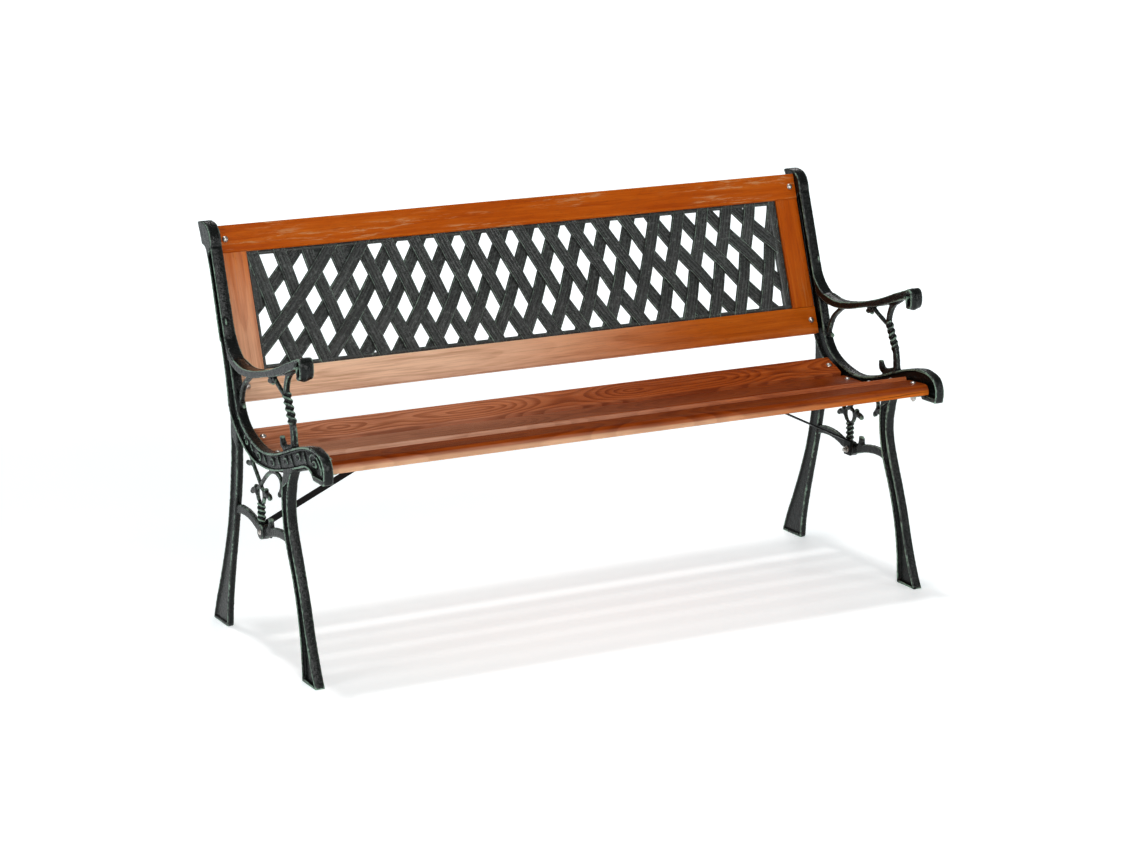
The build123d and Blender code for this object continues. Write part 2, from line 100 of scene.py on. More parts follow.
# ---- node trees ----
class Shader:
    """A small helper that builds one material's node tree."""

    def __init__(self, name):
        self.material = bpy.data.materials.new(name)
        self.material.use_nodes = True
        self.tree = self.material.node_tree
        self.bsdf = self.tree.nodes["Principled BSDF"]
        self.place = self.node("ShaderNodeTexCoord").outputs["Object"]

    def node(self, kind, **settings):
        made = self.tree.nodes.new(kind)
        for key, value in settings.items():
            setattr(made, key, value)
        return made

    def put(self, socket, value):
        if isinstance(value, bpy.types.NodeSocket):
            self.tree.links.new(value, socket)
        elif socket.type == "RGBA" and len(value) == 3:
            socket.default_value = (*value, 1)
        else:
            socket.default_value = value

    def math(self, operation, a, b=0.0):
        made = self.node("ShaderNodeMath", operation=operation)
        self.put(made.inputs[0], a)
        self.put(made.inputs[1], b)
        return made.outputs[0]

    def vector(self, operation, a, b=(0, 0, 0)):
        made = self.node("ShaderNodeVectorMath", operation=operation)
        self.put(made.inputs[0], a)
        self.put(made.inputs[1], b)
        return made.outputs["Value" if operation in ("DOT_PRODUCT", "LENGTH") else "Vector"]

    def combine(self, x, y, z):
        made = self.node("ShaderNodeCombineXYZ")
        for socket, value in zip(made.inputs, (x, y, z)):
            self.put(socket, value)
        return made.outputs[0]

    def noise(self, place, scale=1.0, detail=3.0, rough=0.55):
        made = self.node("ShaderNodeTexNoise")
        self.put(made.inputs["Vector"], place)
        made.inputs["Scale"].default_value = scale
        made.inputs["Detail"].default_value = detail
        made.inputs["Roughness"].default_value = rough
        return made.outputs["Fac"]

    def span(self, value, low, high, to_low=0.0, to_high=1.0):
        """Maps low..high to to_low..to_high, smoothly and without overshoot."""
        made = self.node("ShaderNodeMapRange", interpolation_type="SMOOTHSTEP")
        self.put(made.inputs["Value"], value)
        made.inputs["From Min"].default_value = low
        made.inputs["From Max"].default_value = high
        made.inputs["To Min"].default_value = to_low
        made.inputs["To Max"].default_value = to_high
        return made.outputs["Result"]

    def mix(self, share, a, b):
        made = self.node("ShaderNodeMix", data_type="RGBA")
        self.put(made.inputs["Factor"], share)
        self.put(made.inputs["A"], a)
        self.put(made.inputs["B"], b)
        return made.outputs["Result"]

    def bump(self, height, distance):
        made = self.node("ShaderNodeBump")
        made.inputs["Strength"].default_value = 1.0
        made.inputs["Distance"].default_value = distance
        self.put(made.inputs["Height"], height)
        self.put(self.bsdf.inputs["Normal"], made.outputs["Normal"])

    def finish(self, **values):
        for key, value in values.items():
            self.put(self.bsdf.inputs[key.replace("_", " ")], value)
        return self.material


GRAIN_SHIFT = 3.71      # metres along the grain from one seed to the next


def stretched(shader, g, u, w, scale_g, scale_u, scale_w, offset=0.0):
    """A place for noise that is drawn out along the grain; the scales are in features per metre."""
    return shader.combine(
        shader.math("ADD", shader.math("MULTIPLY", g, scale_g), offset),
        shader.math("MULTIPLY", u, scale_u),
        shader.math("MULTIPLY", w, scale_w),
    )


def wavering(shader, value, noise, reach):
    """The value moved up and down by the noise, over the given reach."""
    return shader.math("ADD", value, shader.math("MULTIPLY", shader.math("SUBTRACT", noise, 0.5), reach))


def growth_rings(shader, g, u, seed, ring, arch):
    """Late-wood lines about a pith that wanders along the grain, which draws nested arches."""
    drift = shader.noise(shader.combine(shader.math("MULTIPLY", g, 1.9), seed * 1.3, 0.0), 1.0, 1.0)
    sway = shader.noise(stretched(shader, g, u, 0.0, 4.5, 22.0, 0.0, seed), 1.0, 3.0)
    pith = shader.math("MULTIPLY", shader.math("SUBTRACT", drift, 0.5), arch)
    aside = wavering(shader, u, sway, 0.022)
    radius = shader.vector("LENGTH", shader.combine(0.0, aside, pith))
    turns = shader.math("FRACT", shader.math("DIVIDE", radius, ring))
    return shader.math("MULTIPLY", shader.span(turns, 0.25, 0.86), shader.span(turns, 1.0, 0.92))


def scuffed(shader, colour, rough, g, u, w, seed, amount):
    """Pale rubbed streaks in patches."""
    streak = shader.noise(stretched(shader, g, u, w, 16.0, 190.0, 190.0, seed), 1.0, 5.0, 0.74)
    patch = shader.noise(stretched(shader, g, u, w, 4.5, 34.0, 34.0, seed + 4), 1.0, 2.0)
    rubbed = shader.math("MULTIPLY", shader.span(streak, 0.50, 0.62), shader.span(patch, 0.46, 0.60))
    rubbed = shader.math("MULTIPLY", rubbed, amount)
    colour = shader.mix(rubbed, colour, SCUFF)
    return colour, shader.math("ADD", rough, shader.math("MULTIPLY", rubbed, 0.25))


def rubbed_and_highlit_edges(shader, u, coarse, half, amount):
    """How pale the long edges and the faces beyond them are painted: rubbed wear and a painted highlight.
    """
    edge = shader.span(shader.math("ABSOLUTE", u), half - 0.0040, half - 0.0012)
    return shader.math("MULTIPLY", edge, shader.span(coarse, 0.25, 0.6, 0.6 * amount, amount))


def thin_stain(shader, colour, share, coords, noise, seed, pale_foot, where, start):
    """Thin stain below the height pale_foot, with dark splits on its right half.

    It runs from orange, where the place along the plank is past start, to tan at the far end.
    """
    g, u, w = coords
    low = wavering(shader, w, noise, 0.006)
    thin = shader.math("MULTIPLY", shader.span(low, pale_foot + 0.003, pale_foot - 0.002), 0.88)
    tan = shader.mix(share, *TAN)
    orange = shader.mix(share, *ORANGE)
    along = shader.span(where, start + 0.15, start - 0.3)
    colour = shader.mix(thin, colour, shader.mix(along, orange, tan))
    split = shader.noise(stretched(shader, g, u, w, 7.0, 420.0, 420.0, seed + 9), 1.0, 2.0)
    on_foot = shader.span(low, pale_foot, pale_foot - 0.004)
    split = shader.math("MULTIPLY", shader.span(split, 0.60, 0.66), on_foot)
    right_half = shader.span(g, seed * GRAIN_SHIFT - 0.05, seed * GRAIN_SHIFT + 0.15)
    return shader.mix(shader.math("MULTIPLY", right_half, split), colour, SPLIT)


def wood(name, tones, plank, seed, ring=0.011, rings=0.5, arch=0.02, scuffs=0.0, gloss=0.36, shine=0.13,
         centre=0.0, worn_and_highlit=None, painted_sheen=None, pale_foot=None):
    """Varnished wood. plank holds its directions along, across and out; tones run dark to light.

    ring is the spacing of the growth rings, rings their strength, and arch how far the pith wanders.
    The edge wear is (half-width, amount): the long edges and the faces beyond them are painted pale,
    partly as rubbed wear and partly as a painted highlight.
    The painted sheen is (axis, from, to, amount): reflected light painted into the colour, which makes
    the plank paler towards the second place on that axis.
    pale_foot is a height on the plank's outward axis below which the stain is thin; it needs the painted
    sheen.
    """
    shader = Shader(name)
    dark, middle, light = tones
    grain, across, outward = plank
    g = shader.math("ADD", shader.vector("DOT_PRODUCT", shader.place, grain), seed * GRAIN_SHIFT)
    u = shader.math("SUBTRACT", shader.vector("DOT_PRODUCT", shader.place, across), centre)
    w = shader.vector("DOT_PRODUCT", shader.place, outward)
    late = growth_rings(shader, g, u, seed, ring, arch)
    coarse = shader.noise(stretched(shader, g, u, w, 7.0, 210.0, 210.0, seed), 1.0, 3.0, 0.6)
    fibre = shader.noise(stretched(shader, g, u, w, 22.0, 700.0, 700.0, seed), 1.0, 3.0, 0.6)
    pores = shader.noise(stretched(shader, g, u, w, 75.0, 1300.0, 1300.0), 1.0, 1.0)
    pores = shader.span(pores, 0.60, 0.72)
    broad = shader.noise(stretched(shader, g, u, w, 2.6, 19.0, 19.0, seed), 1.0, 2.0)
    share = shader.math("ADD", shader.math("MULTIPLY", coarse, 0.75), shader.math("MULTIPLY", fibre, 0.45))
    share = shader.math("ADD", share, shader.math("MULTIPLY", broad, 0.7))
    share = shader.math("SUBTRACT", share, shader.math("MULTIPLY", late, rings))
    colour = shader.mix(shader.span(share, 0.45, 0.95), dark, middle)
    colour = shader.mix(shader.span(share, 0.85, 1.35), colour, light)
    colour = shader.mix(shader.math("MULTIPLY", pores, 0.35), colour, tuple(c * 0.4 for c in dark))
    rough = shader.math("ADD", gloss - 0.06, shader.math("MULTIPLY", coarse, 0.16))
    # Painted sheen: reflected light painted as paler, streaky colour towards one end of the plank.
    if painted_sheen:
        axis, start, end, amount = painted_sheen
        where = wavering(shader, shader.vector("DOT_PRODUCT", shader.place, axis), coarse, 0.15)
        sheen_share = shader.math("MULTIPLY", shader.span(where, start, end), amount)
        streaks = shader.span(share, 0.55, 1.15)
        colour = shader.mix(sheen_share, colour, shader.mix(streaks, *SHEEN_TONES))
    # Pale long edges: partly rubbed wear, partly a painted highlight.
    if worn_and_highlit:
        edge = rubbed_and_highlit_edges(shader, u, coarse, *worn_and_highlit)
        rubbed = shader.mix(share, *RUBBED_AND_HIGHLIT)
        # The painted edge highlight fades along with the painted sheen.
        if painted_sheen:
            edge = shader.math("MULTIPLY", edge, shader.span(where, start, end, 0.15, 1.0))
        colour = shader.mix(edge, colour, rubbed)
    if pale_foot:
        colour = thin_stain(shader, colour, share, (g, u, w), coarse, seed, pale_foot, where, start)
    if scuffs:
        colour, rough = scuffed(shader, colour, rough, g, u, w, seed, scuffs)
    shader.bump(shader.math("SUBTRACT", shader.math("ADD", fibre, coarse), pores), 0.00016)
    shader.bsdf.inputs["Specular IOR Level"].default_value = shine
    return shader.finish(Base_Color=colour, Roughness=rough)


def painted_casting(name, paint, patina, amount, speckle, specular):
    """Dark satin paint over a sand-cast surface, with pale patina wiped over the proud edges,
    painted shade in the hollows and a painted highlight on the rounded edges.

    amount is the strength of the patina on the edges, speckle that of scattered flecks.
    """
    shader = Shader(name)
    edge = shader.node("ShaderNodeAttribute", attribute_name="edge").outputs["Fac"]
    breakup = shader.noise(shader.place, 150.0, 4.0, 0.65)
    soft = shader.noise(shader.place, 24.0, 3.0)
    grains = shader.noise(shader.place, 480.0, 3.0, 0.7)
    wiped = wavering(shader, wavering(shader, edge, breakup, 0.5), soft, 0.4)
    wiped = shader.math("MULTIPLY", shader.span(wiped, 0.70, 0.90), amount)
    flecks = shader.math("MULTIPLY", shader.span(grains, 0.53, 0.66), shader.span(soft, 0.36, 0.60))
    flecks = shader.math("MULTIPLY", flecks, speckle)
    share = shader.math("MAXIMUM", wiped, flecks)
    # Painted shade: the hollows are painted darker than the paint.
    hollow_shade = tuple(c * 0.4 for c in paint)
    base = shader.mix(shader.span(edge, 0.28, 0.50), hollow_shade, paint)
    base = shader.mix(shader.span(breakup, 0.48, 0.75), base, tuple(c * 2.2 for c in paint))
    # Painted highlight: the rounded edges and ridges are painted a lighter grey.
    base = shader.mix(shader.span(edge, 0.54, 0.74, 0.0, 0.8), base, PAINTED_EDGE_HIGHLIGHT)
    base = shader.mix(share, base, patina)
    rough = shader.math("ADD", 0.13, shader.math("MULTIPLY", grains, 0.22))
    rough = shader.math("ADD", rough, shader.math("MULTIPLY", share, 0.25))
    lumps = shader.noise(shader.place, 260.0, 2.0)
    height = shader.math("ADD", shader.math("MULTIPLY", grains, 0.5), lumps)
    shader.bump(height, 0.0006)
    shader.bsdf.inputs["Specular IOR Level"].default_value = specular
    return shader.finish(Base_Color=base, Roughness=rough)


def black_steel():
    shader = Shader("black_steel")
    grains = shader.noise(shader.place, 900.0, 3.0)
    soft = shader.noise(shader.place, 40.0, 3.0)
    base = shader.mix(soft, (0.0025, 0.0025, 0.003), (0.009, 0.009, 0.009))
    rough = shader.math("ADD", 0.28, shader.math("MULTIPLY", soft, 0.25))
    shader.bump(grains, 0.0002)
    shader.bsdf.inputs["Specular IOR Level"].default_value = 0.2
    return shader.finish(Base_Color=base, Roughness=rough)


def zinc():
    shader = Shader("zinc")
    brushed = shader.noise(shader.vector("MULTIPLY", shader.place, (500.0, 500.0, 90.0)), 1.0, 3.0)
    dull = shader.noise(shader.place, 300.0, 4.0, 0.6)
    base = shader.mix(dull, (0.34, 0.31, 0.28), (0.80, 0.78, 0.75))
    base = shader.mix(shader.span(dull, 0.60, 0.72), base, (0.16, 0.11, 0.06))
    rough = shader.math("ADD", 0.22, shader.math("MULTIPLY", brushed, 0.3))
    shader.bump(brushed, 0.0001)
    shader.bsdf.inputs["Metallic"].default_value = 1.0
    return shader.finish(Base_Color=base, Roughness=rough)


def floor_material():
    """Pale floor with a faint glow that grows away from the bench, so that it stays evenly light."""
    shader = Shader("studio_floor")
    cloud = shader.noise(shader.place, 3.0, 3.0)
    base = shader.mix(cloud, (0.86, 0.86, 0.86), (0.89, 0.89, 0.89))
    away = shader.vector("LENGTH", shader.place)
    shader.bsdf.inputs["Emission Color"].default_value = (0.885, 0.975, 1.0, 1)
    glow = shader.span(away, 1.3, 3.6, 0.370, 0.62)
    return shader.finish(Base_Color=base, Roughness=0.6, Emission_Strength=glow)


# ---- mesh building ----
class Mesh:
    """Collects points and faces of several closed solids; each point can carry an edge value."""

    def __init__(self):
        self.points = []
        self.faces = []
        self.values = []

    def add(self, points, faces, values=None):
        start = len(self.points)
        self.points += [tuple(p) for p in points]
        self.faces += [tuple(start + i for i in face) for face in faces]
        self.values += list(values) if values else [0.5] * len(points)

    def loft(self, rings, values=None):
        """Closed solid from rings of equal length, with flat ends; values holds one per ring point."""
        count = len(rings[0])
        points = [p for ring in rings for p in ring]
        faces = []
        for i in range(len(rings) - 1):
            for j in range(count):
                k = (j + 1) % count
                faces.append((i * count + j, i * count + k, (i + 1) * count + k, (i + 1) * count + j))
        faces.append(tuple(reversed(range(count))))
        last = (len(rings) - 1) * count
        faces.append(tuple(range(last, last + count)))
        self.add(points, faces, values * len(rings) if values else None)

    def object(self, name):
        data = bpy.data.meshes.new(name)
        data.from_pydata(self.points, [], self.faces)
        data.update()
        made = bpy.data.objects.new(name, data)
        bpy.context.scene.collection.objects.link(made)
        return made

    def object_with_edges(self, name):
        made = self.object(name)
        layer = made.data.attributes.new("edge", "FLOAT", "POINT")
        layer.data.foreach_set("value", np.array(self.values, np.float32))
        return made


SPAN_STEPS = 8      # steps of a smooth line between two of its given points


def smooth_line(points):
    """A Catmull-Rom line through the points."""
    given = [np.array(p, float) for p in points]
    padded = [2 * given[0] - given[1], *given, 2 * given[-1] - given[-2]]
    line = []
    for a, b, c, d in zip(padded, padded[1:], padded[2:], padded[3:]):
        for t in np.arange(SPAN_STEPS) / SPAN_STEPS:
            bend = 2 * a - 5 * b + 4 * c - d
            swing = 3 * b - a - 3 * c + d
            line.append(0.5 * (2 * b + (c - a) * t + bend * t ** 2 + swing * t ** 3))
    line.append(given[-1])
    return np.array(line)


def in_frame(side, depth, height, out=0.0):
    """World point from millimetres: depth and height in an end frame, out away from its middle plane."""
    return (side * (WEB_X + out * MM), NOSE_Y + depth * MM, height * MM)


def stem(mesh, side, points, widths, out=0.0, flat=1.0, sides=12):
    """A stem along a line in the end frame. widths are given at even steps of the line.

    flat is the stem's size across the frame (along X) as a share of its width, sides its number of faces.
    """
    line = smooth_line(points)
    count = len(line)
    widths = np.interp(np.linspace(0, 1, count), np.linspace(0, 1, len(widths)), widths)
    ways = np.gradient(line, axis=0)
    ways /= np.linalg.norm(ways, axis=1)[:, None]
    rings = []
    for (d, z), (dd, dz), width in zip(line, ways, widths):
        ring = []
        for step in range(sides):
            angle = tau * step / sides
            shift = cos(angle) * width / 2
            lift = sin(angle) * width / 2 * flat
            ring.append(in_frame(side, d - dz * shift, z + dd * shift, out + lift))
        rings.append(ring)
    mesh.loft(rings)


KNOB_RINGS, KNOB_SIDES = 8, 14


def knob(mesh, side, centre, size, out=0.0, turn=0.0):
    """A flattened ball: size is its half-length, half-width and half-depth."""
    stack = []
    for i in range(1, KNOB_RINGS):
        polar = pi * i / KNOB_RINGS
        ring = []
        for j in range(KNOB_SIDES):
            angle = tau * j / KNOB_SIDES
            a = cos(polar) * size[0]
            b = sin(polar) * cos(angle) * size[1]
            c = sin(polar) * sin(angle) * size[2]
            depth = centre[0] + a * cos(turn) - b * sin(turn)
            height = centre[1] + a * sin(turn) + b * cos(turn)
            ring.append(in_frame(side, depth, height, out + c))
        stack.append(ring)
    mesh.loft(stack)


STRANDS, ROPE_STEPS, STRAND_SIDES = 2, 48, 10
STRAND_OUT = 0.42       # from a rope's axis to the middle of a strand, as a share of the rope's radius


def rope(mesh, side, start, end, radius, turns):
    """Strands wound round a straight axis, as cast in imitation of rope."""
    start, end = np.array(start, float), np.array(end, float)
    way = (end - start) / np.linalg.norm(end - start)
    for strand in range(STRANDS):
        rings = []
        for i in range(ROPE_STEPS + 1):
            t = i / ROPE_STEPS
            angle = tau * (turns * t + strand / STRANDS)
            middle = start + (end - start) * t
            beside = cos(angle) * radius * STRAND_OUT
            out = sin(angle) * radius * STRAND_OUT
            swell = radius * (0.66 + 0.05 * sin(tau * turns * t * 2))
            ring = []
            for j in range(STRAND_SIDES):
                turn = tau * j / STRAND_SIDES
                shift = beside + cos(turn) * swell
                depth = middle[0] - way[1] * shift
                height = middle[1] + way[0] * shift
                ring.append(in_frame(side, depth, height, out + sin(turn) * swell))
            rings.append(ring)
        mesh.loft(rings)


WEB_FACE = WEB / MM / 2         # from an end frame's middle plane to the face of its web
RELIEF_OUT = WEB_FACE + 4.0
POST_RELIEF_OUT = WEB_FACE + 1.6
RAIL_SWELL = [(14, 398), (40, 404), (90, 399), (150, 380), (220, 362), (290, 362), (345, 385)]
NOSE_CURL = [(13, 388), (11.5, 398), (21, 410), (35, 417), (50, 415), (56, 407), (51, 400)]
RAIL_GROUPS = [     # bar's foot and top, curl's centre, direction of the rail there
    ((70, 393), (86, 409), (106, 398), -0.24),
    ((126, 377), (144, 393), (161, 378), -0.34),
    ((184, 362), (200, 377), (220, 363), -0.17),
    ((246, 353), (262, 366), (281, 360), 0.12),
    ((311, 362), (320, 381), (338, 377), 0.5),
]
# curl's centre, direction of the post there
POST_GROUPS = [((378, 413), 1.0), ((396, 462), 1.2), ((411, 511), 1.25), ((429, 571), 1.25)]
CURL = [(7, -4), (8.5, 1.5), (4, 6), (-4, 5.5), (-8, 1), (-6.5, -4), (-1, -5), (2.5, -1.5)]


def curl(mesh, side, centre, turn, size=1.0, out=0.0):
    """A small C-shaped curl raised from the web."""
    points = []
    for along, up in CURL:
        depth = centre[0] + size * (along * cos(turn) - up * sin(turn))
        height = centre[1] + size * (along * sin(turn) + up * cos(turn))
        points.append((depth, height))
    stem(mesh, side, points, [3.4, 4.6, 4.4, 3.4], out, 1.05, 8)


def relief(mesh, side):
    """Curls and bars raised from the outer web of the seat rail and the post."""
    stem(mesh, side, RAIL_SWELL, [6, 27, 30, 30, 30, 27, 8], WEB_FACE - 1.4, 0.35, 20)
    stem(mesh, side, NOSE_CURL, [3.0, 4.5, 5.5, 5.0, 3.5], RELIEF_OUT, 1.1, 8)
    curl(mesh, side, (38, 401), -0.3, 0.9, RELIEF_OUT)
    for foot, top, centre, turn in RAIL_GROUPS:
        middle = ((foot[0] + top[0]) / 2 - 1.5, (foot[1] + top[1]) / 2 + 2)
        stem(mesh, side, [foot, middle, top], [2.5, 5.5, 5.0, 2.5], RELIEF_OUT, 0.9, 8)
        curl(mesh, side, centre, turn, 1.0, RELIEF_OUT)
    for centre, turn in POST_GROUPS:
        curl(mesh, side, centre, turn, 0.75, POST_RELIEF_OUT)
        ahead = (centre[0] + 14 * cos(turn), centre[1] + 14 * sin(turn))
        knob(mesh, side, ahead, (5.5, 2.6, 2.4), POST_RELIEF_OUT, turn + 0.5)


ARM_LINE = [
    (379, 512.5), (340, 506), (299, 509.5), (258, 517.5), (217.5, 527.7), (176, 540.8), (135.5, 556.3),
    (112, 564),
]
CROWNED = [      # lines of flanges with a slightly rounded face, and the flange's width
    ([(470, 697), (445, 624), (420, 552), (398.5, 500), (382.5, 450), (364, 412), (330, 388.5), (265, 374),
      (200, 384.5), (130, 408.5), (60, 425.5), (30, 424.5), (8, 416), (-1.5, 398), (-1.5, 383),
      (0, 374)], 19),
    ([(150, 340), (157, 300), (151, 260), (127.5, 200), (104, 140), (85, 80), (61, 20), (52, 3)], 18),
    ([(178, 335), (181, 300), (170.5, 240), (144, 180), (123.5, 120), (112, 60), (108, 3)], 18),
    ([(384, 360), (388, 310), (396, 260), (416, 180), (437, 100), (449.5, 40), (453.5, 3)], 12.5),
    ([(417, 310), (425, 260), (438.5, 200), (460, 140), (486, 80), (505, 40), (519, 3)], 12.5),
    (ARM_LINE, 16),
]
CROWN = 2.8                 # thickness of the rounding laid over a flange
SCROLL_LINE = [
    (128, 558), (108, 566), (95, 570.5), (86, 567.5), (81.5, 559), (80.8, 549), (84, 540), (91, 535.5),
    (98, 538),
]
BEAD = 2.8                  # bead along both edges of the arm, and how far out from its middle it lies
ARM_BEAD_OUT = 11.4
SCROLL_BEAD_OUT = 12.4
SCROLL_RIDGE = 9.0          # thickness of the ridge where the arm curls over, and its width along X
SCROLL_WIDTH = 24


def crowns(mesh, side):
    """Rounds the faces of the flanges, thickens the arm's curl, and lays a bead along the arm's edges."""
    for line, width in CROWNED:
        stem(mesh, side, line, [CROWN, CROWN], 0, width / CROWN, 16)
    stem(mesh, side, SCROLL_LINE, [CROWN, 7, SCROLL_RIDGE, SCROLL_RIDGE], 0, SCROLL_WIDTH / SCROLL_RIDGE, 4)
    for way in (-1, 1):
        stem(mesh, side, ARM_LINE, [BEAD, BEAD], way * ARM_BEAD_OUT, 1.0, 8)
        stem(mesh, side, SCROLL_LINE, [BEAD, BEAD], way * SCROLL_BEAD_OUT, 1.0, 8)


def ornament(mesh, side):
    """Round stems, leaves and ropes between the members of an end frame."""
    rope(mesh, side, (169, 496), (145, 447), 7.9, 2.4)
    rope(mesh, side, (293, 231), (293, 273), 7.9, 2.3)
    stem(mesh, side, [(168, 490), (166, 512), (157, 529), (132, 547)], [8.5, 8.5, 9.5, 15], 0, 1.0)
    stem(mesh, side, [(169, 488), (190, 497), (206, 504.5), (222, 513)], [7, 7.5, 8.5], 0, 1.0)
    knob(mesh, side, (236, 505), (8.5, 5.5, 5.0), 0, -0.5)
    knob(mesh, side, (227, 503), (5.0, 4.0, 4.5), 0, 0.6)
    stem(mesh, side, [(147.5, 452), (143, 437), (140, 420), (137, 404)], [9, 8.5, 9, 14], 2.2, 0.8)
    stem(mesh, side, [(144, 450), (138, 436), (136, 420), (134, 404)], [7, 7, 9], -2.2, 0.8)
    bud = [(148, 406), (168, 399), (183, 400), (189.5, 408), (191, 417)]
    stem(mesh, side, bud, [12, 15, 17, 12], 0, 0.62)
    post_curl = [(314, 499), (326, 493), (340, 485), (354, 473), (364, 459), (371, 443), (384, 424)]
    stem(mesh, side, post_curl, [7, 7.5, 8.5, 8.5], 0, 0.95)
    knob(mesh, side, (363, 433), (7.0, 4.5, 4.0), 0, 0.3)
    eye = []
    for i in range(17):
        turn = tau * i / 16
        lopsided = 0.82 + 0.18 * cos(turn)
        eye.append((293.5 + 17.0 * sin(turn) * lopsided, 286.5 + 15.5 * cos(turn)))
    stem(mesh, side, eye, [6.5, 6, 6.5], 0, 1.05)
    vine = [(300, 297), (294, 304), (283, 313), (271, 324), (246, 339), (221, 343), (203, 336)]
    vine += [(198, 324), (206, 311)]
    stem(mesh, side, vine, [6, 6, 7, 7, 7.5], 0, 1.0)
    rear_vine = [(287, 297), (294, 304), (306, 318.5), (322, 333), (336, 352)]
    stem(mesh, side, rear_vine, [6, 6, 6.5, 7.5], 0, 1.0)
    knob(mesh, side, (206, 309), (8.0, 5.5, 5.0), 0, -0.9)
    knob(mesh, side, (191, 315), (12.0, 5.5, 4.5), 0, -0.1)
    knob(mesh, side, (346, 333), (9.0, 5.0, 4.5), 0, 0.1)
    for centre, turn in (((262, 293), 0.1), ((323, 289), -0.1)):
        knob(mesh, side, centre, (11.0, 6.0, 5.0), 0, turn)
    for centre in ((254, 290), (331, 285), (270, 300), (314, 297)):
        knob(mesh, side, centre, (5.0, 5.0, 5.0))
    stem(mesh, side, [(274, 228), (261, 229), (252, 237), (252, 254)], [14, 18, 18, 13], 0, 0.6)


EDGE_ROUNDS = 2         # how often the edge values are spread over their neighbours
EDGE_REACH = 0.0016     # edge value gained for each unit of curvature


def edge_share(data):
    """A 0 to 1 value for each vertex: above 0.5 on proud edges, below it in hollows."""
    count = len(data.vertices)
    points = np.empty(count * 3)
    data.vertices.foreach_get("co", points)
    points = points.reshape(-1, 3)
    normals = np.empty(count * 3, np.float32)
    data.vertices.foreach_get("normal", normals)
    normals = normals.reshape(-1, 3).astype(float)
    ends = np.empty(len(data.edges) * 2, np.int32)
    data.edges.foreach_get("vertices", ends)
    a, b = ends.reshape(-1, 2).T
    run = points[b] - points[a]
    bend = (normals[b] - normals[a]) * run
    curve = bend.sum(1) / np.maximum((run ** 2).sum(1), 1e-12)
    total = np.bincount(a, curve, count) + np.bincount(b, curve, count)
    links = np.maximum(np.bincount(a, minlength=count) + np.bincount(b, minlength=count), 1)
    value = total / links
    for _ in range(EDGE_ROUNDS):
        near = np.bincount(a, value[b], count) + np.bincount(b, value[a], count)
        value = 0.5 * value + 0.5 * near / links
    value = np.clip(0.5 + value * EDGE_REACH, 0, 1)
    layer = data.attributes.new("edge", "FLOAT", "POINT")
    layer.data.foreach_set("value", value.astype(np.float32))


def apply_modifiers(piece):
    """Turns the piece's modifiers into plain, smooth-shaded geometry."""
    graph = bpy.context.evaluated_depsgraph_get()
    settled = bpy.data.meshes.new_from_object(piece.evaluated_get(graph))
    piece.modifiers.clear()
    piece.data = settled
    for polygon in settled.polygons:
        polygon.use_smooth = True


def set_material(piece, material):
    piece.data.materials.clear()
    piece.data.materials.append(material)


def keep_inside(data):
    """Presses stray bumps back into the bench's overall box."""
    points = np.empty(len(data.vertices) * 3)
    data.vertices.foreach_get("co", points)
    points = np.clip(points.reshape(-1, 3), np.array(LOW), np.array(HIGH))
    data.vertices.foreach_set("co", points.ravel())


CURL_BOX = (60, 106, 526, 580)      # depth from and to, height from and to: the arm's curled front


def curl_vertices(data):
    """The vertices of the arm's curled front, which is rounder than the rest."""
    near, far, low, high = CURL_BOX
    found = []
    for vertex in data.vertices:
        depth, height = (vertex.co.y - NOSE_Y) / MM, vertex.co.z / MM
        if near < depth < far and low < height < high:
            found.append(vertex.index)
    return found


def end_frame(side, node, name, material):
    """The casting: the CAD solid with its stems, ropes and relief melted into one softened surface."""
    mesh = Mesh()
    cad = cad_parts[node].data
    mesh.add([v.co for v in cad.vertices], [p.vertices for p in cad.polygons])
    crowns(mesh, side)
    ornament(mesh, side)
    relief(mesh, side)
    piece = mesh.object(name)
    voxels = piece.modifiers.new("melt", "REMESH")
    voxels.mode = "VOXEL"
    voxels.voxel_size = VOXEL
    apply_modifiers(piece)
    group = piece.vertex_groups.new(name="arm_curl")
    group.add(curl_vertices(piece.data), 1.0, "REPLACE")
    round_off = piece.modifiers.new("round_off", "SMOOTH")
    round_off.factor = 0.5
    round_off.iterations = CURL_ROUNDS
    round_off.vertex_group = "arm_curl"
    soften = piece.modifiers.new("soften", "SMOOTH")
    soften.factor = 0.5
    soften.iterations = 2
    sand = bpy.data.textures.new("sand", "CLOUDS")
    sand.noise_scale = 0.0045
    rough_cast = piece.modifiers.new("rough_cast", "DISPLACE")
    rough_cast.texture = sand
    rough_cast.texture_coords = "LOCAL"
    rough_cast.strength = 0.0009
    apply_modifiers(piece)
    edge_share(piece.data)
    lighten = piece.modifiers.new("lighten", "DECIMATE")
    lighten.ratio = KEPT_FACES
    apply_modifiers(piece)
    keep_inside(piece.data)
    set_material(piece, material)
    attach(piece, BODY)
    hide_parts(node)


